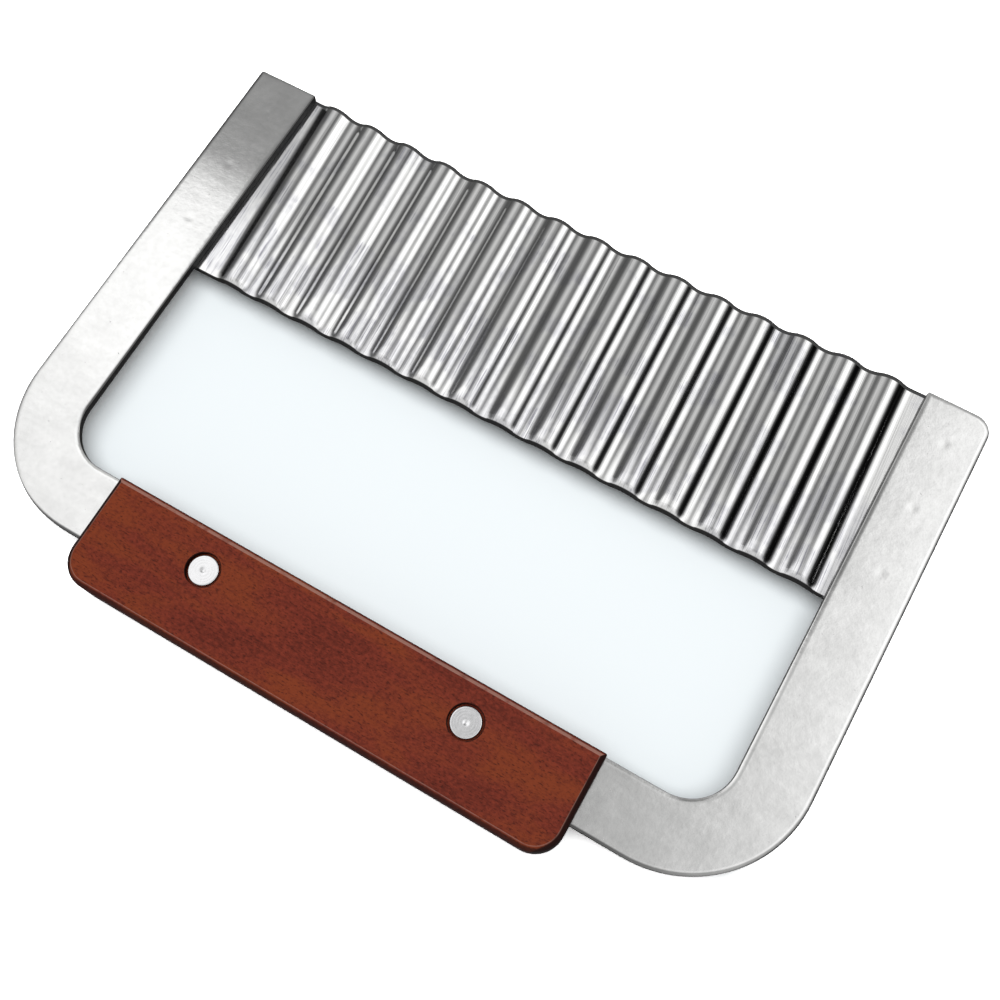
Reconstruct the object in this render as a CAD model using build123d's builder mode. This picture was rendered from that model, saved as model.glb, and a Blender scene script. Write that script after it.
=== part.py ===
# Wavy soap cutter: a corrugated blade across a U-shaped steel plate, with a riveted hardwood handle.
# X runs along the handle, Y from the handle to the cutting edge, and +Z out of the front face.
# The origin is below the middle of the outline, on the plane that the back of the handle rests on.
import os
from math import atan, cos, radians, sin, tan

from build123d import *

# Plate: a U cut from flat sheet, its window open towards the cutting edge
plate_width = 190.0
plate_length = 119.0
plate_thickness = 2.0
arm_width = 15.4
base_width = 15.2
outer_corner_radius = 27.5
window_corner_radius = 10.5
rounded_tip_radius = 4.2
square_tip_radius = 0.6
plate_edge_break = 0.25

# Blade: thin sheet with waves between the arms and a flat tab spot welded behind each arm.
# A flat strip shows between each arm and the nearest wave, measured here along the cutting edge.
# The flutes run a little out of square, so the left strip widens away from that edge.
sheet_thickness = 0.6
blade_depth = 52.6
wave_count = 15
wave_height = 1.7
left_flat_width = 1.35
right_flat_width = 3.1
flute_skew = 2.5
tab_length = 11.0
tab_corner_radius = 1.5
edge_hollow = 1.0
weld_count = 3
weld_pitch = 16.4
weld_diameter = 3.4
weld_dimple_depth = 0.12

# Handle: one hardwood block, sawn from the window side to take the base of the plate
handle_length = 117.4
handle_overhang = 8.6
handle_cheek = 5.0
handle_corner_radius = 6.5
handle_edge_radius = 1.3
handle_offset = 2.8
handle_lip = 0.2
kerf_side_clearance = 0.05
kerf_floor_clearance = 0.3

# Rivets: each a tubular half from the front over a solid half from the back, heads sunk in counterbores.
# They sit a little outside the middle of the base.
rivet_pitch = 63.0
rivet_setback = 0.7
rivet_head_diameter = 6.6
rivet_head_thickness = 1.1
rivet_head_sink = 0.4
rivet_head_edge = 0.3
rivet_dimple_diameter = 1.8
rivet_dimple_depth = 0.35
rivet_tube_diameter = 4.2
rivet_pin_diameter = 2.8
rivet_pin_clearance = 0.05
rivet_pin_lead = 0.4
rivet_end_gap = 0.6
rivet_hole_clearance = 0.1
counterbore_clearance = 0.45

# One overrun serves every through cut
overrun = 1.0

# Levels above the resting plane
plate_back = handle_cheek + kerf_side_clearance
plate_front = plate_back + plate_thickness
handle_front = plate_front + kerf_side_clearance + handle_cheek

# Places along Y, worked out from the middle of the whole outline
handle_outer_y = -(plate_length + handle_overhang) / 2
plate_outer_y = handle_outer_y + handle_overhang
window_y = plate_outer_y + base_width
handle_inner_y = window_y + handle_lip
tip_y = plate_outer_y + plate_length
blade_inner_y = tip_y - blade_depth
rivet_y = plate_outer_y + base_width / 2 - rivet_setback

# Places along X
arm_inner_x = plate_width / 2 - arm_width
arm_middle_x = plate_width / 2 - arm_width / 2
tab_end_x = arm_inner_x + tab_length
rivet_places = {
    "left": -handle_offset - rivet_pitch / 2,
    "right": -handle_offset + rivet_pitch / 2,
}
rivet_hole_radius = rivet_tube_diameter / 2 + rivet_hole_clearance

os.makedirs("parts", exist_ok=True)


def write_piece(builder, name):
    """Label a finished piece and write it to its own STEP file."""
    builder.part.label = name
    export_step(builder.part, f"parts/{name}.step")
    print(f"{name}: {builder.part.volume:.1f} mm3")


# Frame plate: the U outline, its window, the broken edges, the rivet holes and the weld dimples
with BuildPart() as frame_plate:
    with BuildSketch(Plane.XY.offset(plate_back)) as outline:
        with Locations((0, plate_outer_y)):
            Rectangle(plate_width, plate_length, align=(Align.CENTER, Align.MIN))
        fillet(outline.vertices().group_by(Axis.Y)[0], outer_corner_radius)
        fillet(outline.vertices().group_by(Axis.Y)[-1].sort_by(Axis.X)[0], square_tip_radius)
        fillet(outline.vertices().group_by(Axis.Y)[-1].sort_by(Axis.X)[-1], rounded_tip_radius)
    extrude(amount=plate_thickness)
    with BuildSketch(Plane.XY.offset(plate_back)) as window:
        with Locations((0, window_y)):
            Rectangle(2 * arm_inner_x, plate_length, align=(Align.CENTER, Align.MIN))
        fillet(window.vertices().group_by(Axis.Y)[0], window_corner_radius)
    extrude(amount=plate_thickness, mode=Mode.SUBTRACT)
    chamfer(frame_plate.faces().filter_by(Axis.Z).edges(), plate_edge_break)
    with Locations(*[(x, rivet_y, plate_front) for x in rivet_places.values()]):
        Hole(rivet_hole_radius, depth=plate_thickness + overrun)
    for arm_x in (-arm_middle_x, arm_middle_x):
        with Locations((arm_x, (blade_inner_y + tip_y) / 2, plate_front)):
            with GridLocations(0, weld_pitch, 1, weld_count):
                Cylinder(weld_diameter / 2, 2 * weld_dimple_depth, mode=Mode.SUBTRACT)
write_piece(frame_plate, "frame_plate")


# Blade: the waves fill what the two flat strips leave of the space between the arms.
# The sheet's middle line is level at the tabs and runs in tangent arcs between them.
# Valley and crest arcs share one radius, and meet halfway up at the steepest slope.
# The section is drawn at the cutting edge, long enough to reach both tab ends along the skewed flutes.
waves_start_x = -arm_inner_x + left_flat_width
waves_end_x = arm_inner_x - right_flat_width
wave_pitch = (waves_end_x - waves_start_x) / wave_count
steepest_slope = 2 * atan(2 * wave_height / wave_pitch)
bend_radius = wave_pitch / 4 / sin(steepest_slope)
valley_level = plate_back - sheet_thickness / 2
middle_level = valley_level + wave_height / 2
crest_level = valley_level + wave_height
flute_direction = (sin(radians(flute_skew)), -cos(radians(flute_skew)), 0)
section_end_x = tab_end_x + blade_depth * tan(radians(flute_skew)) + overrun
print(f"wave pitch {wave_pitch:.2f} mm, bend radius {bend_radius:.2f} mm")

with BuildPart() as blade:
    with BuildSketch(Plane.XZ.offset(-tip_y)) as section:
        with BuildLine() as middle_line:
            Line((-section_end_x, valley_level), (waves_start_x, valley_level))
            RadiusArc(
                (waves_start_x, valley_level),
                (waves_start_x + wave_pitch / 4, middle_level),
                bend_radius,
            )
            for wave in range(wave_count):
                crest_x = waves_start_x + (wave + 1 / 2) * wave_pitch
                ThreePointArc(
                    (crest_x - wave_pitch / 4, middle_level),
                    (crest_x, crest_level),
                    (crest_x + wave_pitch / 4, middle_level),
                )
                if wave < wave_count - 1:
                    ThreePointArc(
                        (crest_x + wave_pitch / 4, middle_level),
                        (crest_x + wave_pitch / 2, valley_level),
                        (crest_x + wave_pitch * 3 / 4, middle_level),
                    )
            RadiusArc(
                (waves_end_x - wave_pitch / 4, middle_level),
                (waves_end_x, valley_level),
                bend_radius,
            )
            Line((waves_end_x, valley_level), (section_end_x, valley_level))
            offset(amount=sheet_thickness / 2, side=Side.BOTH, mode=Mode.REPLACE)
        make_face()
    extrude(amount=(blade_depth + overrun) / cos(radians(flute_skew)), dir=flute_direction)
    with BuildSketch(Plane.XY) as trim:
        with BuildLine():
            Polyline(
                (-arm_inner_x, tip_y),
                (-tab_end_x, tip_y),
                (-tab_end_x, blade_inner_y),
                (tab_end_x, blade_inner_y),
                (tab_end_x, tip_y),
                (arm_inner_x, tip_y),
            )
            ThreePointArc((arm_inner_x, tip_y), (0, tip_y - edge_hollow), (-arm_inner_x, tip_y))
        make_face()
        corners = trim.vertices().group_by(Axis.X)
        fillet(corners[0] + corners[-1], tab_corner_radius)
    extrude(amount=handle_front, mode=Mode.INTERSECT)
write_piece(blade, "blade")


# Handle: block outline, rounded edges, then the kerf and the two counterbored rivet holes
counterbore_radius = rivet_head_diameter / 2 + counterbore_clearance
counterbore_depth = rivet_head_sink + rivet_head_thickness
with BuildPart() as handle:
    with BuildSketch(Plane.XY) as block:
        with Locations((-handle_offset, handle_outer_y)):
            Rectangle(handle_length, handle_inner_y - handle_outer_y, align=(Align.CENTER, Align.MIN))
        fillet(block.vertices().group_by(Axis.Y)[0], handle_corner_radius)
    extrude(amount=handle_front)
    fillet(handle.faces().filter_by(Axis.Z).edges(), handle_edge_radius)
    with BuildSketch(Plane.XY.offset(plate_back - kerf_side_clearance)) as kerf:
        with Locations((-handle_offset, plate_outer_y - kerf_floor_clearance)):
            Rectangle(
                handle_length + 2 * overrun,
                handle_inner_y - plate_outer_y + kerf_floor_clearance + overrun,
                align=(Align.CENTER, Align.MIN),
            )
    extrude(amount=plate_thickness + 2 * kerf_side_clearance, mode=Mode.SUBTRACT)
    for x in rivet_places.values():
        for face_plane in (
            Plane(origin=(x, rivet_y, handle_front), z_dir=(0, 0, 1)),
            Plane(origin=(x, rivet_y, 0), z_dir=(0, 0, -1)),
        ):
            with Locations(face_plane):
                CounterBoreHole(
                    rivet_hole_radius,
                    counterbore_radius,
                    counterbore_depth,
                    depth=handle_cheek + overrun,
                )
write_piece(handle, "handle")


# Rivets: the solid half's pin stands in the tubular half's bore, with a small gap left past each end
front_seat = handle_front - counterbore_depth
back_seat = counterbore_depth
bore_radius = rivet_pin_diameter / 2 + rivet_pin_clearance
for side, x in rivet_places.items():
    with BuildPart() as rivet_tube_half:
        with BuildSketch(Plane((x, rivet_y, front_seat))):
            Circle(rivet_head_diameter / 2)
        extrude(amount=rivet_head_thickness)
        fillet(rivet_tube_half.edges().group_by(Axis.Z)[-1], rivet_head_edge)
        with BuildSketch(Plane((x, rivet_y, back_seat + rivet_end_gap))):
            Circle(rivet_tube_diameter / 2)
            Circle(bore_radius, mode=Mode.SUBTRACT)
        extrude(amount=front_seat - back_seat - rivet_end_gap)
        dimple_top = Plane((x, rivet_y, front_seat + rivet_head_thickness))
        with BuildSketch(dimple_top):
            Circle(rivet_dimple_diameter / 2)
        extrude(amount=-rivet_dimple_depth, taper=45, mode=Mode.SUBTRACT)
    write_piece(rivet_tube_half, f"rivet_tube_half_{side}")

    with BuildPart() as rivet_pin_half:
        with BuildSketch(Plane((x, rivet_y, rivet_head_sink))):
            Circle(rivet_head_diameter / 2)
        extrude(amount=rivet_head_thickness)
        fillet(rivet_pin_half.edges().group_by(Axis.Z)[0], rivet_head_edge)
        with BuildSketch(Plane((x, rivet_y, back_seat))):
            Circle(rivet_pin_diameter / 2)
        extrude(amount=front_seat - back_seat - rivet_end_gap)
        chamfer(rivet_pin_half.edges().group_by(Axis.Z)[-1], rivet_pin_lead)
    write_piece(rivet_pin_half, f"rivet_pin_half_{side}")
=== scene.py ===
# %% [markdown]
# # Wavy soap cutter
# A hand tool that slices bars of soap with a rippled face. A corrugated steel blade stands across a
# U-shaped steel plate, and a hardwood handle is riveted over the closed end of the U.
#
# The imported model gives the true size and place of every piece. This script gives each piece its looks:
# rolled and ground steel, turned rivet heads and grained wood, in a soft studio that the steel mirrors.

# %% Load the frame
from math import atan, cos, degrees, pi, radians, sin, tau

import bmesh
import bpy
from mathutils import Matrix, Vector


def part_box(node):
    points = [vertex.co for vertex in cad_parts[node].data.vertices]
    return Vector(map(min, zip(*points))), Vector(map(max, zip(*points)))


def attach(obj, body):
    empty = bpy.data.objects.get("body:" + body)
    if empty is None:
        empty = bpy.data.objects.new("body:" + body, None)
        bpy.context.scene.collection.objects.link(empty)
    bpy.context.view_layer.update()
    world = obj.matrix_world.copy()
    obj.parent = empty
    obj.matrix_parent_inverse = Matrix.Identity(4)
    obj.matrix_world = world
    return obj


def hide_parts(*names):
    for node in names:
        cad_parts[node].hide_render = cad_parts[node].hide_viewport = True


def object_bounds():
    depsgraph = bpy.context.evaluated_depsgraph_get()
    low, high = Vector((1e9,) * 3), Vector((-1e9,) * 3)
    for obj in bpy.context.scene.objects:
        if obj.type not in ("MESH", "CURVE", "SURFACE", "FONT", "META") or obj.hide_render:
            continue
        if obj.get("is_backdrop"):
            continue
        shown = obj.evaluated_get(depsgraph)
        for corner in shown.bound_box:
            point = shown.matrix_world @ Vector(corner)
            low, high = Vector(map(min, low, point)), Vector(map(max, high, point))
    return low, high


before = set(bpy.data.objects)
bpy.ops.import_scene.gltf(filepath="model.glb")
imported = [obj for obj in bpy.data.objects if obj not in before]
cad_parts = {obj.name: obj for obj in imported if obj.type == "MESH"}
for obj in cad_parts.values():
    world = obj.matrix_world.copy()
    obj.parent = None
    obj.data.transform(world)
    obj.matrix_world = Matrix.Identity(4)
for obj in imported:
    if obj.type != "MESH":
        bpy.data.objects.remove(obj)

MM = 0.001
cad_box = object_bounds()
cad_size = (cad_box[1] - cad_box[0]) / MM
print("cad size in mm", [round(side, 1) for side in cad_size])

# %% [markdown]
# ## Arithmetic on node sockets
# Written as Math nodes one by one, a sum hides its formula. So a small class wraps a socket and turns
# Python's own operators into Math nodes. Every other node comes from one method, `add`, which sets the
# node's options before its sockets, since the options decide which sockets there are.

# %% Wires and graphs


def plug(tree, socket, value):
    """Link a wire to a socket, or set the socket's own value."""
    if isinstance(value, Wire):
        tree.links.new(value.socket, socket)
    elif value is not None:
        socket.default_value = value


class Wire:
    """A node's output socket, with Python's arithmetic."""

    def __init__(self, tree, node, output=0):
        self.tree = tree
        self.node = node
        self.socket = node.outputs[output]

    def out(self, output):
        """Another output of the same node."""
        return Wire(self.tree, self.node, output)

    def sum_of(self, operation, *values):
        """A Math node on the given values."""
        node = self.tree.nodes.new("ShaderNodeMath")
        node.operation = operation
        for socket, value in zip(node.inputs, values):
            plug(self.tree, socket, value)
        return Wire(self.tree, node)

    def math(self, operation, *others):
        """A Math node on this wire and the others."""
        return self.sum_of(operation, self, *others)

    def __add__(self, other):
        return self.sum_of("ADD", self, other)

    def __radd__(self, other):
        return self.sum_of("ADD", other, self)

    def __sub__(self, other):
        return self.sum_of("SUBTRACT", self, other)

    def __rsub__(self, other):
        return self.sum_of("SUBTRACT", other, self)

    def __mul__(self, other):
        return self.sum_of("MULTIPLY", self, other)

    def __rmul__(self, other):
        return self.sum_of("MULTIPLY", other, self)

    def __truediv__(self, other):
        return self.sum_of("DIVIDE", self, other)

    def __rtruediv__(self, other):
        return self.sum_of("DIVIDE", other, self)

    def least(self, other):
        return self.sum_of("MINIMUM", self, other)

    def most(self, other):
        return self.sum_of("MAXIMUM", self, other)


class Graph:
    """A node tree under construction."""

    def __init__(self, tree):
        self.tree = tree

    def add(self, kind, sockets=None, output=0, **settings):
        """Add one node: its settings, then the values or wires of its sockets, by name or number."""
        node = self.tree.nodes.new(kind)
        for name, value in settings.items():
            if name == "stops":
                set_stops(node.color_ramp, value)
            else:
                setattr(node, name, value)
        for name, value in (sockets or {}).items():
            plug(self.tree, node.inputs[name], value)
        return Wire(self.tree, node, output)

    def mix(self, factor, first, second):
        """The first colour where the factor is 0, and the second where it is 1."""
        sockets = {0: factor, 6: first, 7: second}
        return self.add("ShaderNodeMix", sockets, output=2, data_type="RGBA")

    def split(self, vector):
        """The X of a vector, whose other outputs are Y and Z."""
        return self.add("ShaderNodeSeparateXYZ", {0: vector})

    def vector(self, x=0.0, y=0.0, z=0.0):
        return self.add("ShaderNodeCombineXYZ", {"X": x, "Y": y, "Z": z})


def set_stops(ramp, stops):
    """Give a colour ramp its (place, colour) stops, with a rounded curve through them."""
    ramp.interpolation = "B_SPLINE"
    while len(ramp.elements) < len(stops):
        ramp.elements.new(1.0)
    for element, (place, colour) in zip(ramp.elements, stops):
        element.position = place
        element.color = colour


# %% [markdown]
# ## Colours
# A surface colour is easiest to judge as it looks on a screen, so it is named that way, in 0 to 255, and
# turned into the linear values that the renderer works in.

# %% Screen colours


def linear(level):
    """One screen channel, 0 to 255, as a linear value."""
    share = level / 255
    return share / 12.92 if share <= 0.04045 else ((share + 0.055) / 1.055) ** 2.4


def screen(red, green, blue):
    """A screen colour as a linear colour with full alpha."""
    return (linear(red), linear(green), linear(blue), 1.0)


def grey(level):
    """A neutral colour of one linear level."""
    return (level, level, level, 1.0)


print("mid grey 128 is", round(linear(128), 3), "linear")

# %% [markdown]
# ## Finishes
# Every finish is a procedural material in Object coordinates. An image would need a UV map on every piece
# and would blur close up. A piece's object sits at the origin, so its Object coordinates are the real
# places on the tool, in metres, and a pattern can be given its true size. One helper opens a material and
# hands over its graph and a position in millimetres, and another fills the material's shader.

# %% Helpers for finishes


def new_finish(name):
    """A material with its graph and the position in millimetres."""
    material = bpy.data.materials.new(name)
    material.use_nodes = True
    graph = Graph(material.node_tree)
    place = graph.add("ShaderNodeTexCoord").out("Object")
    place_mm = graph.add("ShaderNodeVectorMath", {0: place, "Scale": 1 / MM}, operation="SCALE")
    print("finish", name)
    return material, graph, place_mm


def dress(material, **sockets):
    """Fill the sockets of a material's shader, named with underscores for spaces."""
    shader = material.node_tree.nodes["Principled BSDF"]
    for name, value in sockets.items():
        plug(material.node_tree, shader.inputs[name.replace("_", " ")], value)
    return material


def noise(graph, place_mm, size, detail=2.0, roughness=0.5, distortion=0.0):
    """Smooth noise, about 0.5 on average, with grains of a length, width and height in millimetres."""
    shares = [1 / side for side in size]
    sockets = {
        "Vector": graph.add("ShaderNodeVectorMath", {0: place_mm, 1: shares}, operation="MULTIPLY"),
        "Scale": 1.0,
        "Detail": detail,
        "Roughness": roughness,
        "Distortion": distortion,
    }
    return graph.add("ShaderNodeTexNoise", sockets)


def ramp(graph, value, low, high):
    """0 below low, 1 above high, and a smooth step between."""
    sockets = {"Value": value, "From Min": low, "From Max": high}
    return graph.add("ShaderNodeMapRange", sockets, interpolation_type="SMOOTHSTEP")


def bump(graph, height, depth_mm, normal=None):
    """A normal from a height of 0 to 1 that stands for a depth in millimetres."""
    sockets = {"Height": height, "Distance": depth_mm * MM, "Normal": normal}
    return graph.add("ShaderNodeBump", sockets)


def steel_colour(graph, tone, blue_share=0.99):
    """A near neutral metal colour from one tone."""
    return graph.add("ShaderNodeCombineColor", {"Red": tone, "Green": tone, "Blue": tone * blue_share})


def facing(graph):
    """Which way the surface faces: X, with Y and Z as further outputs."""
    return graph.split(graph.add("ShaderNodeNewGeometry").out("Normal"))


# %% [markdown]
# ### Satin steel
# The plate is cold rolled sheet: bright, slightly blurred reflections, faint grey clouds a few millimetres
# across, and small marks. A very shallow bump of the size of the clouds bends the reflections a degree or
# so, which makes real sheet look mottled. The cut edges are sheared, so whatever faces sideways is rough
# and near-black, partly from its sheared finish and partly as painted shade. The rim round the outside of
# the tool, where it faces -Y and +X, is darkened with painted shade, and the top of one arm is darkened
# towards its tip with a painted dark reflection.

# %% Values of the satin steel

PLATE_TONE = 0.83
PLATE_ROUGHNESS = 0.17
PLATE_RELIEF = 0.05
CLOUD_CONTRAST = 0.26
MOTTLE_CONTRAST = 0.16
SPECK_DARKNESS = 0.16
SCRATCH_DARKNESS = 0.05

# The top of one arm, darkened with a painted dark reflection, from none to full, in millimetres along -X and
# Y
PAINTED_REFLECTION_X = (60, 80)
PAINTED_REFLECTION_Y = (27, 42)
PAINTED_REFLECTION_SHARE = 0.50

# The normal's Z from the sheared wall to the flat sheet, and its lean from the flat sheet to the rim with
# painted shade
WALL_TO_SHEET = (0.45, 0.8)
# The sheared wall's near-black tone: partly its rough finish, partly painted shade
SHEARED_SHADE_TONE = 0.07
SHEARED_ROUGHNESS = 0.45
SHADED_RIM_LEAN = (0.10, 0.24)
SHADED_RIM_TOWARDS_X = 0.85
RIM_SHADE_SHARE = 0.85

# Both painted shades, on the rim and on the sheared wall, are lighter by the right arm
RIGHT_ARM_X = (55, 92)
RIM_SHADE_LOSS = 0.3
SHEARED_SHADE_GAIN = 0.25

# %% Make the satin steel


def make_satin_steel():
    material, graph, place = new_finish("satin_steel")
    clouds = noise(graph, place, (7, 6, 6), detail=4, roughness=0.6)
    mottle = noise(graph, place, (1.7, 1.5, 1.5), detail=3, roughness=0.6)
    specks = ramp(graph, noise(graph, place, (0.8, 0.8, 0.8), detail=1), 0.74, 0.82)
    scratches = ramp(graph, noise(graph, place, (0.35, 9, 4), detail=2), 0.68, 0.78)
    contrast = (clouds - 0.5) * CLOUD_CONTRAST + (mottle - 0.5) * MOTTLE_CONTRAST
    sheet_tone = PLATE_TONE + contrast - specks * SPECK_DARKNESS - scratches * SCRATCH_DARKNESS

    here = graph.split(place)
    side = facing(graph)
    by_right_arm = ramp(graph, here, *RIGHT_ARM_X)
    # Painted dark reflection on the top of one arm, towards its tip
    painted_reflection = ramp(graph, here * -1, *PAINTED_REFLECTION_X) * ramp(graph, here.out("Y"), *PAINTED_REFLECTION_Y) * PAINTED_REFLECTION_SHARE
    # Painted shade on the rim where it faces -Y and +X, less of it by the right arm
    rim_shade_amount = RIM_SHADE_SHARE - by_right_arm * RIM_SHADE_LOSS
    rim = ramp(graph, side * SHADED_RIM_TOWARDS_X - side.out("Y"), *SHADED_RIM_LEAN) * rim_shade_amount
    # The sheared wall is rough, and near-black partly from painted shade
    cut = 1 - ramp(graph, side.out("Z").math("ABSOLUTE"), *WALL_TO_SHEET)
    shear_marks = noise(graph, place, (0.3, 0.3, 3), detail=2)
    edge_shade_tone = (SHEARED_SHADE_TONE + by_right_arm * SHEARED_SHADE_GAIN) * (0.5 + shear_marks)
    fine = bump(graph, noise(graph, place, (0.25, 0.25, 0.25)), 0.001)
    return dress(
        material,
        Base_Color=steel_colour(graph, sheet_tone * (1 - painted_reflection.most(rim)) * (1 - cut) + edge_shade_tone * cut),
        Metallic=1.0,
        Roughness=PLATE_ROUGHNESS + (clouds - 0.5) * 0.1 + specks * 0.2 + cut * SHEARED_ROUGHNESS,
        Normal=bump(graph, mottle * 0.5 + clouds, PLATE_RELIEF, fine),
    )


satin_steel = make_satin_steel()

# %% [markdown]
# ### Polished steel
# The blade is bright sheet. Corrugating rolls leave fine straight lines along every flute, so the noise
# for its bump is stretched along the flutes, which run a little out of square. Use has left scuffs in
# patches, more of them in the half away from the cutting edge, and they darken the metal. The ground bevel
# and the rounded inner edge are painted dark where the surface leans along Y close to an edge: painted
# shade that stands in for the dark reflections and the shadow there.

# %% Values of the polished steel

blade_low, blade_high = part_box("blade")

BLADE_TONE = 0.84
BLADE_ROUGHNESS = 0.06
BLADE_RELIEF = 0.019
FLUTE_SLANT = 0.054
BAND_CONTRAST = 0.10
MARK_DARKNESS = 0.42
DRAG_DARKNESS = 0.24

# The worn half, from least to most wear along -Y, in millimetres
WORN_HALF = (-44, -22)
WORN_HALF_GAIN = 0.13

# Painted shade on the ground edges: from level to leaning, and how far in from each edge it can be, in
# millimetres
GROUND_LEAN = (0.13, 0.22)
GROUND_SHADE_TONE = 0.15
FROM_TIP = (3.5, 3)
FROM_INNER_EDGE = (0.6, 0.8)
INNER_EDGE_SHADE = 0.11

# %% Make the polished steel


def make_polished_steel():
    material, graph, place = new_finish("polished_steel")
    here = graph.split(place)
    y = here.out("Y")
    along = graph.vector(here + y * FLUTE_SLANT, y, here.out("Z"))
    lines = noise(graph, along, (0.26, 60, 0.9), detail=3, roughness=0.7)
    bands = noise(graph, along, (0.9, 50, 3), detail=2)
    scuffs = ramp(graph, noise(graph, along, (0.20, 12, 0.8), detail=2), 0.54, 0.68)
    worn_half = ramp(graph, y * -1, *WORN_HALF) * WORN_HALF_GAIN
    blots = noise(graph, place, (9, 8, 9), detail=3)
    patches = ramp(graph, blots + worn_half, 0.52, 0.66)
    haze = noise(graph, place, (1.2, 1.6, 2), detail=3)
    marks = patches * (scuffs * 0.75 + haze * 0.5)
    drag = ramp(graph, noise(graph, along, (0.17, 22, 0.7), detail=2), 0.58, 0.68)
    tone = BLADE_TONE + (bands - 0.5) * BAND_CONTRAST - marks * MARK_DARKNESS - drag * DRAG_DARKNESS

    # Painted shade on the ground bevel and on the rounded inner edge
    by_tip = ramp(graph, y, *(blade_high.y / MM - reach for reach in FROM_TIP))
    by_inner_edge = 1 - ramp(graph, y, *(blade_low.y / MM + reach for reach in FROM_INNER_EDGE))
    leaning = ramp(graph, facing(graph).out("Y").math("ABSOLUTE"), *GROUND_LEAN)
    cut = leaning * by_tip.most(by_inner_edge)
    edge_shade_tone = GROUND_SHADE_TONE - by_inner_edge * INNER_EDGE_SHADE
    return dress(
        material,
        Base_Color=steel_colour(graph, tone * (1 - cut) + edge_shade_tone * cut, 0.99 + marks * 0.10),
        Metallic=1.0,
        Roughness=BLADE_ROUGHNESS + marks * 0.15 + cut * SHEARED_ROUGHNESS,
        Normal=bump(graph, lines * 0.6 + bands * 0.4, BLADE_RELIEF),
    )


polished_steel = make_polished_steel()

# %% [markdown]
# ### Rivet metal
# The rivets are turned, so their shape carries most of the look. The finish adds a faint grain and wear.

# %% Values of the rivet metal

RIVET_TONE = 0.92
RIVET_ROUGHNESS = 0.24
RIVET_RELIEF = 0.003
WEAR_CONTRAST = 0.22

# %% Make the rivet metal


def make_rivet_metal():
    material, graph, place = new_finish("rivet_metal")
    grain = noise(graph, place, (0.3, 0.3, 0.3))
    wear = noise(graph, place, (1.1, 1.1, 1.1), detail=3, distortion=1.2)
    tone = RIVET_TONE + (wear - 0.5) * WEAR_CONTRAST
    return dress(
        material,
        Base_Color=steel_colour(graph, tone, 1.01),
        Metallic=1.0,
        Roughness=RIVET_ROUGHNESS + (wear - 0.5) * 0.1,
        Normal=bump(graph, grain, RIVET_RELIEF),
    )


rivet_metal = make_rivet_metal()

# %% [markdown]
# ### Hardwood
# The handle is a dense red-brown wood, rubbed with oil, with hardly any gloss. Its figure is mottled:
# short flecks along X, darker pores, and broad clouds of redder and more orange wood. The shoulder of
# every edge is worn pale, and on the window's side it reaches lower as a painted highlight. The end grain
# is darkened, partly because it has drunk more oil than the face and partly as painted shade, and the
# sides that face -Y and +Y are darkened with painted shade. Those follow the way that the surface faces,
# so they are masks made from its normal.

# %% Values of the hardwood

WOOD_DARK = screen(82, 30, 20)
WOOD_RED = screen(117, 46, 31)
WOOD_ORANGE = screen(118, 51, 26)
WOOD_PORE = screen(58, 22, 15)
WOOD_WORN_AND_HIGHLIGHT = screen(160, 122, 110)
WOOD_OIL_AND_SHADE = screen(34, 13, 10)
WOOD_ROUGHNESS = 0.55
WOOD_RELIEF = 0.05
PORE_SHARE = 0.75

# How far the surface's normal leans towards each darkened side, and how dark that side gets: painted
# shade, with oil as well in the end grain
END_GRAIN_LEAN = (0.22, 0.42)
PALM_LEAN = (0.36, 0.60)
PALM_SHADE = 0.75
HIDDEN_LEAN = (0.74, 0.92)
HIDDEN_SHADE = 0.8

# How upright the normal is on the worn shoulder, which reaches lower on the window's side as a painted
# highlight, and how much of it is worn pale or painted pale
SHOULDER_UPRIGHT = 0.93
WINDOW_SIDE_LEAN = (0.1, 0.3)
WINDOW_HIGHLIGHT_DROP = 0.20
SHOULDER_FADE = 0.03
FACE_UPRIGHT = (0.985, 0.995)
WORN_AND_HIGHLIGHT_SHARE = 0.65

# %% Make the hardwood


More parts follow.
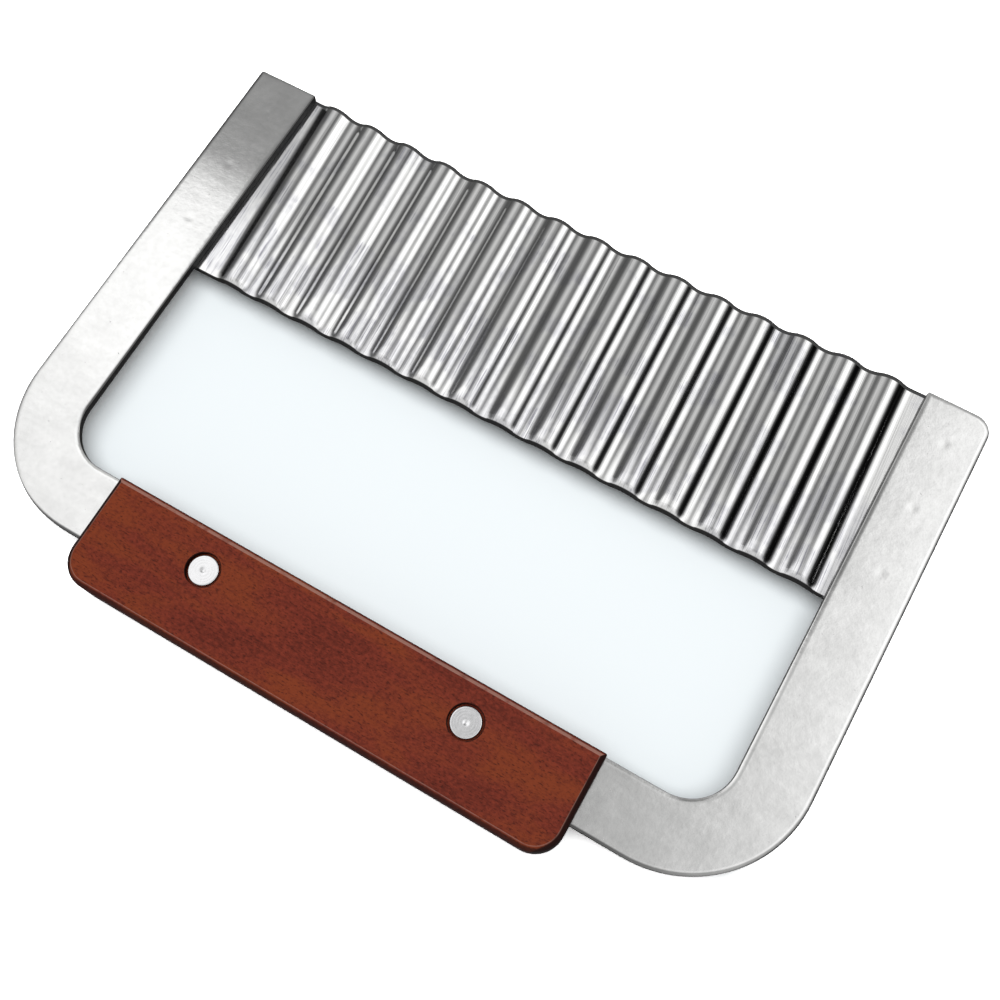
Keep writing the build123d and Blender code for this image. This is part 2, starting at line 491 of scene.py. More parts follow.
def make_hardwood():
    material, graph, place = new_finish("hardwood")
    clouds = noise(graph, place, (26, 9, 9), detail=3, distortion=0.4)
    flecks = noise(graph, place, (1.1, 0.75, 0.75), detail=5, roughness=0.75)
    fibres = noise(graph, place, (6, 0.45, 0.45), detail=3, roughness=0.6)
    pores = noise(graph, place, (0.9, 0.28, 0.28), detail=2)
    red_or_orange = graph.mix(ramp(graph, clouds, 0.40, 0.62), WOOD_RED, WOOD_ORANGE)
    shade = flecks * 0.55 + fibres * 0.15 + clouds * 0.30
    figure = graph.mix(ramp(graph, shade, 0.36, 0.58), WOOD_DARK, red_or_orange)
    pore_mask = ramp(graph, pores, 0.56, 0.70)
    face = graph.mix(pore_mask * PORE_SHARE, figure, WOOD_PORE)

    side = facing(graph)
    y = side.out("Y")
    upright = side.out("Z").math("ABSOLUTE")
    # Darker end grain, from oil and from painted shade; painted shade on the sides facing -Y and +Y
    end_grain = ramp(graph, side.math("ABSOLUTE"), *END_GRAIN_LEAN)
    palm_shade = ramp(graph, y * -1, *PALM_LEAN) * PALM_SHADE
    hidden_shade = ramp(graph, y, *HIDDEN_LEAN) * HIDDEN_SHADE
    oiled_and_shaded = graph.mix(end_grain.most(palm_shade).most(hidden_shade), face, WOOD_OIL_AND_SHADE)

    # Pale worn shoulders, and a painted highlight where the shoulder reaches lower on the window's side
    window_side = ramp(graph, y, *WINDOW_SIDE_LEAN)
    above_shoulder = upright - (SHOULDER_UPRIGHT - window_side * WINDOW_HIGHLIGHT_DROP)
    shoulder = ramp(graph, above_shoulder, -SHOULDER_FADE, SHOULDER_FADE)
    below_face = 1 - ramp(graph, upright, *FACE_UPRIGHT)
    rubbed = ramp(graph, noise(graph, place, (3, 3, 3)), 0.15, 0.50)
    worn_and_highlit = shoulder * below_face * rubbed * WORN_AND_HIGHLIGHT_SHARE
    return dress(
        material,
        Base_Color=graph.mix(worn_and_highlit, oiled_and_shaded, WOOD_WORN_AND_HIGHLIGHT),
        Roughness=WOOD_ROUGHNESS + (fibres - 0.5) * 0.2,
        Specular_IOR_Level=0.10,
        Normal=bump(graph, flecks * 0.5 - pore_mask * 0.5, WOOD_RELIEF),
    )


hardwood = make_hardwood()

# %% [markdown]
# ## Growing a piece from a geometry tree
# The blade's waves and the turned rivets follow a rule, so Geometry Nodes make them. The tree's inputs
# are the real sizes. `grow` gives a mesh the tree as a modifier, sets each input by its identifier, and
# keeps the result as a plain mesh, because only plain meshes are exported.

# %% Trees

SOCKET_KINDS = {float: "NodeSocketFloat", int: "NodeSocketInt", bpy.types.Material: "NodeSocketMaterial"}
CLOSE = 0.001 * MM


def new_tree(name, sizes):
    """A geometry tree with one named input for each size, and wires to read them by name."""
    tree = bpy.data.node_groups.new(name, "GeometryNodeTree")
    tree.interface.new_socket("Geometry", in_out="INPUT", socket_type="NodeSocketGeometry")
    tree.interface.new_socket("Geometry", in_out="OUTPUT", socket_type="NodeSocketGeometry")
    for label, value in sizes.items():
        tree.interface.new_socket(label, in_out="INPUT", socket_type=SOCKET_KINDS[type(value)])
    given_node = tree.nodes.new("NodeGroupInput")
    given = {item.name: Wire(tree, given_node, item.name) for item in given_node.outputs if item.name}
    return Graph(tree), given


def end_tree(graph, geometry, material):
    """End a tree in Realize Instances and Set Material."""
    realized = graph.add("GeometryNodeRealizeInstances", {"Geometry": geometry})
    finished = graph.add("GeometryNodeSetMaterial", {"Geometry": realized, "Material": material})
    output = graph.tree.nodes.new("NodeGroupOutput")
    plug(graph.tree, output.inputs["Geometry"], finished)


def close_and_crease(graph, geometry, angle):
    """Merge what meets, and shade it smooth but for edges that turn by more than an angle in degrees."""
    closed = graph.add("GeometryNodeMergeByDistance", {"Geometry": geometry, "Distance": CLOSE})
    smooth = graph.add("GeometryNodeSetShadeSmooth", {"Geometry": closed, "Shade Smooth": True})
    sharp = graph.add("GeometryNodeInputMeshEdgeAngle").math("GREATER_THAN", radians(angle))
    sockets = {"Geometry": smooth, "Selection": sharp, "Shade Smooth": False}
    return graph.add("GeometryNodeSetShadeSmooth", sockets, domain="EDGE")

# %% Pieces grown from a tree


def show(name, data):
    """An object for a mesh, a camera or a light, linked to the scene."""
    shown = bpy.data.objects.new(name, data)
    bpy.context.scene.collection.objects.link(shown)
    return shown


def keep_result(piece):
    """Turn what a piece's modifiers make into its own plain mesh."""
    evaluated = piece.evaluated_get(bpy.context.evaluated_depsgraph_get())
    result = bpy.data.meshes.new_from_object(evaluated)
    piece.modifiers.clear()
    piece.data = result
    result.name = piece.name
    print(piece.name, len(result.vertices), "vertices,", len(result.polygons), "faces")


def grow(name, graph, sizes, mesh=None):
    """A plain mesh object from a tree and its sizes."""
    piece = show(name, mesh or bpy.data.meshes.new(name + "_seed"))
    modifier = piece.modifiers.new("grow", "NODES")
    modifier.node_group = graph.tree
    identifiers = {
        item.name: item.identifier
        for item in graph.tree.interface.items_tree
        if item.in_out == "INPUT"
    }
    for label, value in sizes.items():
        modifier[identifiers[label]] = value
    keep_result(piece)
    return piece


def hand_over(piece, slot, *nodes):
    """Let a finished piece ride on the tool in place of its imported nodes."""
    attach(piece, "root")
    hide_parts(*nodes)


# %% [markdown]
# ## The corrugated blade
# On the real tool a strip of thin stainless sheet is pressed between ribbed rolls, its cutting edge is
# ground, and its flat ends are spot welded behind the arms. It could be drawn as a curve and extruded,
# but then the hollow of the cutting edge, the ground bevel and the small differences from wave to wave
# would need cutting afterwards. A grid that is moved by a formula holds them all.
#
# Seen along a flute, the sheet's middle line is arcs of one radius, which meet halfway up at the steepest
# slope. The strip was fed a little askew, so the flutes fan out of square, and each column of the grid
# follows a flute. Towards the inner edge the waves run out, as they do where the rolls end.

# %% Sizes of the blade

plate_low, plate_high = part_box("frame_plate")

sheet_thickness = 0.6 * MM
wave_count = 15
arm_width = 15.4 * MM
left_flat_width = 1.35 * MM
right_flat_width = 3.1 * MM
first_flute_drift = 3.5 * MM
last_flute_drift = 1.8 * MM

arm_inner_x = plate_high.x - arm_width
wave_start_x = -arm_inner_x + left_flat_width
wave_end_x = arm_inner_x - right_flat_width
column_start_x = wave_start_x + first_flute_drift / 2
column_end_x = wave_end_x + last_flute_drift / 2
wave_pitch = (column_end_x - column_start_x) / wave_count
wave_height = blade_high.z - blade_low.z - sheet_thickness
steepest_slope = 2 * atan(2 * wave_height / wave_pitch)
bend_radius = wave_pitch / 4 / sin(steepest_slope)
print(f"wave pitch {wave_pitch / MM:.2f} mm, height {wave_height / MM:.2f} mm")
print(f"bend radius {bend_radius / MM:.2f} mm, steepest slope {degrees(steepest_slope):.1f} degrees")

# %% Inputs of the blade's tree

row_steps = 40
blade_sizes = {
    "Start X": wave_start_x,
    "End X": wave_end_x,
    "Start drift": first_flute_drift,
    "End drift": last_flute_drift,
    "Column start": column_start_x,
    "Column end": column_end_x,
    "Pitch": wave_pitch,
    "Wave height": wave_height,
    "Bend radius": bend_radius,
    "Arm X": arm_inner_x,
    "Tab end X": blade_high.x,
    "Inner Y": blade_low.y,
    "Tip Y": blade_high.y,
    "Back Z": blade_low.z,
    "Thickness": sheet_thickness,
    "Tab corner": 1.5 * MM,
    "Hollow": 1.0 * MM,
    "Grind width": 1.05 * MM,
    "Grind depth": 0.36 * MM,
    "Inner round": 0.6 * MM,
    "Inner drop": 0.34 * MM,
    "Run out": 2.0 * MM,
    "Run out share": 0.50,
    "Unevenness": 0.03 * MM,
    "Height spread": 0.03,
    "Columns": 600,
    "Rows": row_steps + 1,
    "Seed": 5,
    "Finish": polished_steel,
}

# Shares of the rows at which the inner round, the run out and the flat of the blade end
inner_round_share = 6 / row_steps
run_out_share = 14 / row_steps
grind_share = 37 / row_steps

# The unevenness: how often it changes in a metre, and how far from an arm it has its full size
wander_across = 70
wander_along = 28
even_reach = 4 * MM

ground_crease = 11

# %% Rules of the blade


def stretch(graph, value, low, high, length):
    """Goes from 0 to a length while the value goes from low to high."""
    sockets = {"Value": value, "From Min": low, "From Max": high, "To Max": length}
    return graph.add("ShaderNodeMapRange", sockets)


def wave_rise(graph, given, along, wave_index):
    """Height of the middle line above its valleys, at a distance along the waves."""
    pitch, height, radius = given["Pitch"], given["Wave height"], given["Bend radius"]
    from_valley = along.math("PINGPONG", pitch / 2)
    to_bend = from_valley.least(pitch / 2 - from_valley)
    sag = radius - (radius * radius - to_bend * to_bend).math("SQRT")
    in_valley = from_valley.math("LESS_THAN", pitch / 4)
    rise = in_valley * sag + (1 - in_valley) * (height - sag)
    sockets = {2: -1.0, 3: 1.0, "ID": wave_index, "Seed": given["Seed"]}
    chance = graph.add("FunctionNodeRandomValue", sockets, output=1, data_type="FLOAT")
    return rise * (1 + chance * given["Height spread"])


def hollow_edge(given, x):
    """How far the cutting edge lies below the tips, at a place across the blade."""
    share = x / given["Arm X"]
    return (1 - share * share).most(0.0) * given["Hollow"]


def flute_x(graph, given, column, from_tip):
    """Place across the blade of a column that follows its flute: tab, waves, tab."""
    start = given["Start X"] + from_tip * given["Start drift"]
    end = given["End X"] + from_tip * given["End drift"]
    tab = given["Tab end X"]
    left = stretch(graph, column, tab * -1, given["Column start"], start + tab)
    waves = stretch(graph, column, given["Column start"], given["Column end"], end - start)
    right = stretch(graph, column, given["Column end"], tab, tab - end)
    return left + waves + right - tab


# %% Lay the blade's middle surface


def blade_middle(graph, given):
    """The sheet's middle surface, as a grid moved by the rules."""
    sockets = {"Size X": 1.0, "Size Y": 1.0, "Vertices X": given["Columns"], "Vertices Y": given["Rows"]}
    grid = graph.add("GeometryNodeMeshGrid", sockets)
    unit = graph.split(graph.add("GeometryNodeInputPosition"))
    column = unit * 2 * given["Tab end X"]
    row = unit.out("Y") + 0.5
    far = column.math("ABSOLUTE")

    # The rows stand closer where the sheet rounds over, runs out and is ground
    corner = given["Tab corner"]
    into_corner = (far - given["Tab end X"] + corner).most(0.0)
    corner_cut = corner - (corner * corner - into_corner * into_corner).most(0.0).math("SQRT")
    depth = given["Tip Y"] - given["Inner Y"] - hollow_edge(given, column) - corner_cut * 2
    body = depth - given["Run out"] - given["Grind width"]
    from_inner = (
        stretch(graph, row, 0.0, inner_round_share, given["Inner round"])
        + stretch(graph, row, inner_round_share, run_out_share, given["Run out"] - given["Inner round"])
        + stretch(graph, row, run_out_share, grind_share, body)
        + stretch(graph, row, grind_share, 1.0, given["Grind width"])
    )
    y = given["Inner Y"] + corner_cut + from_inner
    from_tip = (given["Tip Y"] - y) / (given["Tip Y"] - given["Inner Y"])
    x = flute_x(graph, given, column, from_tip)

    # Hand-fed sheet is never quite even, but its tabs lie flat on the arms
    along = (column.least(given["Column end"]) - given["Column start"]).most(0.0)
    rise = wave_rise(graph, given, along, (along / given["Pitch"]).math("FLOOR"))
    run_out = ramp(graph, from_inner, 0.0, given["Run out"])
    height_share = given["Run out share"] + (1 - given["Run out share"]) * run_out
    free = stretch(graph, given["Arm X"] - far, 0.0, even_reach, 1.0)
    spread = graph.vector(x * wander_across, y * wander_along)
    sockets = {"Vector": spread, "W": given["Seed"], "Scale": 1.0, "Detail": 1.0}
    wander = graph.add("ShaderNodeTexNoise", sockets, noise_dimensions="4D")
    uneven = (wander - 0.5) * 2 * given["Unevenness"] * free
    z = given["Back Z"] + given["Thickness"] / 2 + rise * height_share + uneven
    sockets = {"Geometry": grid, "Position": graph.vector(x, y, z)}
    return graph.add("GeometryNodeSetPosition", sockets)


# %% Give the blade its thickness and its edges


def build_blade_tree():
    graph, given = new_tree("corrugated_sheet", blade_sizes)
    middle = blade_middle(graph, given)
    sockets = {0: graph.add("GeometryNodeInputNormal"), "Scale": given["Thickness"] * -0.5}
    inwards = graph.add("ShaderNodeVectorMath", sockets, operation="SCALE")
    back = graph.add("GeometryNodeSetPosition", {"Geometry": middle, "Offset": inwards})
    sockets = {"Mesh": back, "Individual": False, "Offset Scale": given["Thickness"]}
    thick = graph.add("GeometryNodeExtrudeMesh", sockets)

    # The front is ground down towards the cutting edge and rounded over at the inner edge
    here = graph.split(graph.add("GeometryNodeInputPosition"))
    to_tip = given["Tip Y"] - hollow_edge(given, here) - here.out("Y")
    to_inner = here.out("Y") - given["Inner Y"]
    ground = stretch(graph, to_tip, given["Grind width"], 0.0, given["Grind depth"])
    rounding = stretch(graph, to_inner, given["Inner round"], 0.0, 1.0)
    between_arms = here.math("ABSOLUTE").math("LESS_THAN", given["Arm X"])
    lowered = ground + rounding * rounding * given["Inner drop"] * between_arms
    sockets = {"Geometry": thick, "Selection": thick.out("Top"), "Offset": graph.vector(z=lowered * -1)}
    shaped = graph.add("GeometryNodeSetPosition", sockets)
    flipped = graph.add("GeometryNodeFlipFaces", {"Mesh": back})
    joined = graph.add("GeometryNodeJoinGeometry")
    for part in (flipped, shaped):
        plug(graph.tree, joined.node.inputs["Geometry"], part)
    end_tree(graph, close_and_crease(graph, joined, ground_crease), given["Finish"])
    return graph


blade_piece = grow("corrugated_blade", build_blade_tree(), blade_sizes)
hand_over(blade_piece, "polished_steel", "blade")

# %% [markdown]
# ## Shapes cut from an outline
# The plate is blanked from sheet and the handle is sawn from a board, and both have an edge that turns
# over all the way round. A Bevel modifier would round it evenly. The outline drawn at several insets can
# give any edge: each loop lies a little further in and at its own height. An outer corner loses radius as
# it moves in, and an inner one gains it.

# %% Outlines


def left_of(direction):
    return Vector((-direction.y, direction.x))


def outline(corners, inset):
    """Points anticlockwise round square corners (place, radius, steps), moved inwards by an inset."""
    points = []
    for index, (place, radius, steps) in enumerate(corners):
        before = corners[index - 1][0]
        after = corners[(index + 1) % len(corners)][0]
        arriving = left_of((place - before).normalized())
        leaving = left_of((after - place).normalized())
        side = -1 if arriving.dot(after - place) > 0 else 1
        bend = max(radius + side * inset, 0.0)
        centre = place + (inset - side * bend) * (arriving + leaving)
        for step in range(steps + 1):
            turn = pi / 2 * step / steps
            points.append(centre + side * bend * (arriving * cos(turn) + leaving * sin(turn)))
    return points


def circle(centre, radius, steps):
    turns = [tau * step / steps for step in range(steps)]
    return [centre + radius * Vector((cos(turn), sin(turn))) for turn in turns]

# %% Shapes closed from loops


def join_loops(shape, loops):
    """Faces from each closed loop of (points, level) to the next."""
    rings = [[shape.verts.new((*point, level)) for point in points] for points, level in loops]
    for ring, after in zip(rings, rings[1:]):
        for index, corner in enumerate(ring):
            behind = index - 1
            shape.faces.new((ring[behind], corner, after[index], after[behind]))
    return rings


def fill_level(shape, level):
    """Close the flat face at one level, and keep its holes."""
    rim = [
        edge
        for edge in shape.edges
        if edge.is_boundary and all(abs(corner.co.z - level) < CLOSE for corner in edge.verts)
    ]
    filled = bmesh.ops.triangle_fill(shape, use_beauty=True, edges=rim)["geom"]
    return [face for face in filled if isinstance(face, bmesh.types.BMFace)]


def close_shape(shape, name, levels, material, crease_angle):
    """Merge the loops, fill the flat levels and return a piece with smooth edges and flat faces."""
    bmesh.ops.remove_doubles(shape, verts=shape.verts[:], dist=CLOSE)
    for face in shape.faces:
        face.smooth = True
    for level in levels:
        for face in fill_level(shape, level):
            face.smooth = False
    bmesh.ops.recalc_face_normals(shape, faces=shape.faces[:])
    for edge in shape.edges:
        edge.smooth = edge.calc_face_angle(pi) < radians(crease_angle)
    mesh = bpy.data.meshes.new(name)
    shape.to_mesh(mesh)
    shape.free()
    mesh.materials.append(material)
    print(name, len(mesh.vertices), "vertices,", len(mesh.polygons), "faces")
    return show(name, mesh)


# %% [markdown]
# ## The frame plate
# A press blanks the U out of sheet. The punch drags the face down where it enters, so the front rolls
# over gently for a millimetre before the sheared edge begins, and that roll catches the light as a line.
# The spot welds show as three shallow dishes on each arm.

# %% Sizes of the plate

tube_low, tube_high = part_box("rivet_tube_half_left")
right_low, right_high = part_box("rivet_tube_half_right")
rivet_y = (tube_low.y + tube_high.y) / 2
rivet_xs = [(tube_low.x + tube_high.x) / 2, (right_low.x + right_high.x) / 2]

window_y = plate_low.y + 15.2 * MM
base_corner = 27.5 * MM
window_corner = 10.5 * MM
rounded_tip = 4.2 * MM
square_tip = 0.6 * MM
inner_tip = 0.3 * MM
roll_width = 1.15 * MM
roll_depth = 0.13 * MM
roll_steps = 6
edge_round = 0.25 * MM
edge_tilts = (35, 65, 90)
rivet_hole_radius = 2.2 * MM
rivet_hole_sides = 32
plate_crease = 40
weld_radius = 1.7 * MM
weld_depth = 0.04 * MM
weld_pitch = 16.4 * MM
weld_middle_y = (blade_low.y + blade_high.y) / 2
arm_middle_x = plate_high.x - arm_width / 2

plate_corners = [
    (Vector((plate_high.x, plate_low.y)), base_corner, 28),
    (Vector((plate_high.x, plate_high.y)), rounded_tip, 10),
    (Vector((arm_inner_x, plate_high.y)), inner_tip, 3),
    (Vector((arm_inner_x, window_y)), window_corner, 16),
    (Vector((-arm_inner_x, window_y)), window_corner, 16),
    (Vector((-arm_inner_x, plate_high.y)), inner_tip, 3),
    (Vector((plate_low.x, plate_high.y)), square_tip, 4),
    (Vector((plate_low.x, plate_low.y)), base_corner, 28),
]
print(f"plate edge rolls over {roll_depth / MM:.2f} mm in {roll_width / MM:.2f} mm")

# %% Blank the plate


def edge_loops(front, back):
    """The plate's edge from the flat front, over the roll and down the sheared wall to the back."""
    rows = []
    for step in range(roll_steps + 1):
        share = step / roll_steps
        inset = edge_round + (roll_width - edge_round) * (1 - share)
        rows.append((inset, front - roll_depth * share**2))
    for tilt in edge_tilts:
        drop = roll_depth + edge_round * (1 - cos(radians(tilt)))
        rows.append((edge_round * (1 - sin(radians(tilt))), front - drop))
    rows += [(0.0, back + edge_round / 2), (edge_round / 2, back)]
    return [(outline(plate_corners, inset), level) for inset, level in rows]


def weld_dish(shape, x, y, front):
    """A shallow dish with a smooth rim."""
    steps, rings = 24, 6
    loops = []
    for ring in range(rings):
        share = 1 - ring / rings
        drop = weld_depth * (1 + cos(pi * share)) / 2
        loops.append((circle(Vector((x, y)), weld_radius * share, steps), front - drop))
    innermost = join_loops(shape, loops)[-1]
    middle = shape.verts.new((x, y, front - weld_depth))
    for index, corner in enumerate(innermost):
        shape.faces.new((innermost[index - 1], corner, middle))


def make_plate():
    front, back = plate_high.z, plate_low.z
    shape = bmesh.new()
    join_loops(shape, edge_loops(front, back))
    for x in rivet_xs:
        hole = circle(Vector((x, rivet_y)), rivet_hole_radius, rivet_hole_sides)
        join_loops(shape, [(hole, front), (hole, back)])
    for x in (-arm_middle_x, arm_middle_x):
        for step in (-1, 0, 1):
            weld_dish(shape, x, weld_middle_y + step * weld_pitch, front)
    return close_shape(shape, "rolled_plate", (front, back), satin_steel, plate_crease)


plate_piece = make_plate()
hand_over(plate_piece, "satin_steel", "frame_plate")

# %% [markdown]
# ## The handle
# A board is cut to its outline, rounded over on a router, sawn to take the plate and bored for the
# rivets. The model follows the same order: the rounded block is made of loops, and Boolean modifiers take
# out the kerf and the bores, which cut across its rounding. The router's bit leaves a small shoulder where
# its curve begins, so the arc doesn't start level.

# %% Sizes of the handle

handle_low, handle_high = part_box("handle")

handle_corner = 6.5 * MM
sawn_corner = 0.4 * MM
round_over = 1.6 * MM
shoulder_tilt = 14
round_steps = 7
handle_crease = 12
kerf_gap = 0.05 * MM
kerf_floor_y = plate_low.y - 0.3 * MM
counterbore_radius = 3.75 * MM
counterbore_depth = 1.5 * MM
counterbore_break = 0.15 * MM
bore_sides = 48
overrun = 1.0 * MM
cutter_crease = 30

handle_corners = [
    (Vector((handle_high.x, handle_low.y)), handle_corner, 14),
    (Vector((handle_high.x, handle_high.y)), sawn_corner, 3),
    (Vector((handle_low.x, handle_high.y)), sawn_corner, 3),
    (Vector((handle_low.x, handle_low.y)), handle_corner, 14),
]
handle_size = (handle_high - handle_low) / MM
print(f"handle {handle_size.x:.1f} x {handle_size.y:.1f} x {handle_size.z:.1f} mm")

# %% Shape the block


def round_over_loops(face, outwards):
    """The rounded edge from a face of the block to its wall; outwards is 1 in front and -1 behind."""
    first = cos(radians(shoulder_tilt))
    loops = []
    for step in range(round_steps + 1):
        tilt = radians(shoulder_tilt + (90 - shoulder_tilt) * step / round_steps)
        inset = round_over * (1 - sin(tilt))
        drop = round_over * (first - cos(tilt))
        loops.append((outline(handle_corners, inset), face - outwards * drop))
    return loops


def make_block():
    front, back = handle_high.z, handle_low.z
    shape = bmesh.new()
    join_loops(shape, round_over_loops(front, 1) + round_over_loops(back, -1)[::-1])
    return close_shape(shape, "rounded_handle", (front, back), hardwood, handle_crease)


def make_kerf_cutter():
    """The space that the saw and the plate take up, open at the ends and towards the window."""
    low = Vector((handle_low.x - overrun, kerf_floor_y, plate_low.z - kerf_gap))
    high = Vector((handle_high.x + overrun, handle_high.y + overrun, plate_high.z + kerf_gap))
    corners = [(low.x, low.y), (high.x, low.y), (high.x, high.y), (low.x, high.y)]
    shape = bmesh.new()
    join_loops(shape, [(corners, high.z), (corners, low.z)])
    return close_shape(shape, "kerf_cutter", (high.z, low.z), hardwood, cutter_crease)


def make_bore_cutter(x):
    """A rivet's stepped bore, with the counterbores' rims broken."""
    centre = Vector((x, rivet_y))
    wide = circle(centre, counterbore_radius, bore_sides)
    flared = circle(centre, counterbore_radius + counterbore_break + overrun, bore_sides)
    narrow = circle(centre, rivet_hole_radius, bore_sides)
    front, back = handle_high.z, handle_low.z
    loops = [
        (flared, front + overrun),
        (wide, front - counterbore_break),
        (wide, front - counterbore_depth),
        (narrow, front - counterbore_depth),
        (narrow, back + counterbore_depth),
        (wide, back + counterbore_depth),
        (wide, back + counterbore_break),
        (flared, back - overrun),
    ]
    shape = bmesh.new()
    join_loops(shape, loops)
    levels = (front + overrun, back - overrun)
    return close_shape(shape, "bore_cutter", levels, hardwood, cutter_crease)


# %% Saw and bore the handle

handle_piece = make_block()
cutters = [make_kerf_cutter()] + [make_bore_cutter(x) for x in rivet_xs]
for cutter in cutters:
    cut = handle_piece.modifiers.new("cut", "BOOLEAN")
    cut.operation = "DIFFERENCE"
    cut.solver = "EXACT"
    cut.object = cutter
keep_result(handle_piece)
for cutter in cutters:
    bpy.data.objects.remove(cutter)
hand_over(handle_piece, "hardwood", "handle")

# %% [markdown]
# ## Rivets
# Each rivet is two turned halves: a tubular half from the front and a solid half from the back. What a
# lathe makes is a profile spun round an axis, so each half has a profile drawn in Python, and one tree
# spins it and puts a copy at every rivet place.

# %% Sizes of the rivets

pin_low, pin_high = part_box("rivet_pin_half_left")

head_radius = (tube_high.x - tube_low.x) / 2
rivet_pitch = rivet_xs[1] - rivet_xs[0]
head_thickness = 1.1 * MM
head_edge = 0.3 * MM
head_edge_steps = 5
tube_radius = 2.1 * MM
bore_radius = 1.45 * MM
pin_radius = 1.4 * MM
pin_lead = 0.4 * MM
dimple_radius = 0.9 * MM
dimple_depth = 0.16 * MM
dimple_steps = 6
ring_depth = 0.012 * MM
ring_places = (1.45 * MM, 2.05 * MM, 2.6 * MM)
ring_half_width = 0.16 * MM
turned_crease = 30
print(f"rivet heads {2 * head_radius / MM:.1f} mm across, {rivet_pitch / MM:.1f} mm apart")

# %% Draw the two profiles


def arc(centre, radius, start, end, steps):
    """Points (r, z) along an arc, with angles in degrees."""
    turns = [radians(start + (end - start) * step / steps) for step in range(steps + 1)]
    return [(centre[0] + radius * cos(turn), centre[1] + radius * sin(turn)) for turn in turns]


def turned_face(level, outwards):
    """Points across a turned head from its centre to its rim, with shallow ring grooves."""
    points = []
    for place in ring_places:
        points += [
            (place - ring_half_width, level),
            (place, level - outwards * ring_depth),
            (place + ring_half_width, level),
        ]
    return points


def dimple(level):
    """Points across the punched dimple, from its middle to its lip, on a rounded slope."""
    shares = [step / dimple_steps for step in range(dimple_steps + 1)]
    return [(dimple_radius * share, level - dimple_depth * (1 + cos(pi * share)) / 2) for share in shares]


def tube_profile():
    """The tubular half, from the centre of its head round to the end of its bore."""
    top, seat, end = tube_high.z, tube_high.z - head_thickness, tube_low.z
    corner = arc((head_radius - head_edge, top - head_edge), head_edge, 90, 0, head_edge_steps)
    shank = [(head_radius, seat), (tube_radius, seat), (tube_radius, end)]
    bore = [(bore_radius, end), (bore_radius, seat), (0.0, seat)]
    return dimple(top) + turned_face(top, 1) + corner + shank + bore


def pin_profile():
    """The solid half, from the end of its pin round to the centre of its head."""
    base, seat, end = pin_low.z, pin_low.z + head_thickness, pin_high.z
    pin = [(0.0, end), (pin_radius - pin_lead, end), (pin_radius, end - pin_lead), (pin_radius, seat)]
    corner = arc((head_radius - head_edge, base + head_edge), head_edge, 0, -90, head_edge_steps)
    return pin + [(head_radius, seat)] + corner + turned_face(base, -1)[::-1] + [(0.0, base)]


def profile_mesh(name, points):
    """A polyline mesh of (r, z) points in the XZ plane."""
    mesh = bpy.data.meshes.new(name)
    edges = [(index, index + 1) for index in range(len(points) - 1)]
    mesh.from_pydata([(radius, 0, level) for radius, level in points], edges, [])
    return mesh


# %% Build the lathe's tree

rivet_sizes = {
    "Profile points": 0,
    "Sides": 72,
    "Left X": rivet_xs[0],
    "Rivet Y": rivet_y,
    "Pitch": rivet_pitch,
    "Rivets": 2,
    "Seed": 3,
    "Finish": rivet_metal,
}


def build_lathe_tree():
    graph, given = new_tree("turned_rivets", rivet_sizes)
    count, sides = given["Profile points"], given["Sides"]
    sockets = {"Size X": 1.0, "Size Y": 1.0, "Vertices X": count, "Vertices Y": sides + 1}
    grid = graph.add("GeometryNodeMeshGrid", sockets)
    unit = graph.split(graph.add("GeometryNodeInputPosition"))
    index = (unit + 0.5) * (count - 1)
    turn = (unit.out("Y") + 0.5) * tau
    sockets = {
        "Geometry": given["Geometry"],
        "Value": graph.add("GeometryNodeInputPosition"),
        "Index": index.math("ROUND"),
    }
    point = graph.add("GeometryNodeSampleIndex", sockets, data_type="FLOAT_VECTOR", domain="POINT")
    drawn = graph.split(point)
    place = graph.vector(drawn * turn.math("COSINE"), drawn * turn.math("SINE"), drawn.out("Z"))
    spun = graph.add("GeometryNodeSetPosition", {"Geometry": grid, "Position": place})
    rivet = close_and_crease(graph, spun, turned_crease)

    # No two rivets are driven in at the same turn
    start = graph.vector(given["Left X"], given["Rivet Y"])
    sockets = {"Count": given["Rivets"], "Start Location": start, "Offset": graph.vector(given["Pitch"])}
    places = graph.add("GeometryNodeMeshLine", sockets)
    sockets = {0: (0, 0, 0), 1: (0, 0, tau), "Seed": given["Seed"]}
    turned = graph.add("FunctionNodeRandomValue", sockets, data_type="FLOAT_VECTOR")
    sockets = {"Points": places, "Instance": rivet, "Rotation": turned}
    end_tree(graph, graph.add("GeometryNodeInstanceOnPoints", sockets), given["Finish"])
    return graph


# %% Turn the rivets

lathe_tree = build_lathe_tree()
for half, points in (("tube", tube_profile()), ("pin", pin_profile())):
    sizes = rivet_sizes | {"Profile points": len(points)}
    rivets = grow(f"rivet_{half}_halves", lathe_tree, sizes, profile_mesh(f"{half}_profile", points))
    hand_over(rivets, "rivet_metal", f"rivet_{half}_half_left", f"rivet_{half}_half_right")

# %% [markdown]
# ## Camera
# The tool is seen from above, close to it and turned, so its far edge shrinks. The camera has a real
# place above the tool, found by fitting the plate's corners, a point that it looks at, and a turn.

# %% Place the camera

camera_place = Vector((56.65, -70.17, 248.59)) * MM
camera_target = Vector((9.31, -1.73, 0)) * MM
camera_turn = radians(29.9)


def aim(thing, place, target, up):
    """Put a camera or a light at a place and point it at a target."""
    back = (place - target).normalized()
    right = up.cross(back).normalized()
    turn = Matrix((right, back.cross(right), back)).transposed()
    thing.matrix_world = Matrix.Translation(place) @ turn.to_4x4()


camera = show("camera", bpy.data.cameras.new("camera"))
camera.data.sensor_width = 36
camera.data.lens = 43.0
camera.data.clip_start = 10 * MM
aim(camera, camera_place, camera_target, Vector((-sin(camera_turn), cos(camera_turn), 0)))
bpy.context.scene.camera = camera
print("camera to tool", round((camera_place - camera_target).length / MM), "mm")

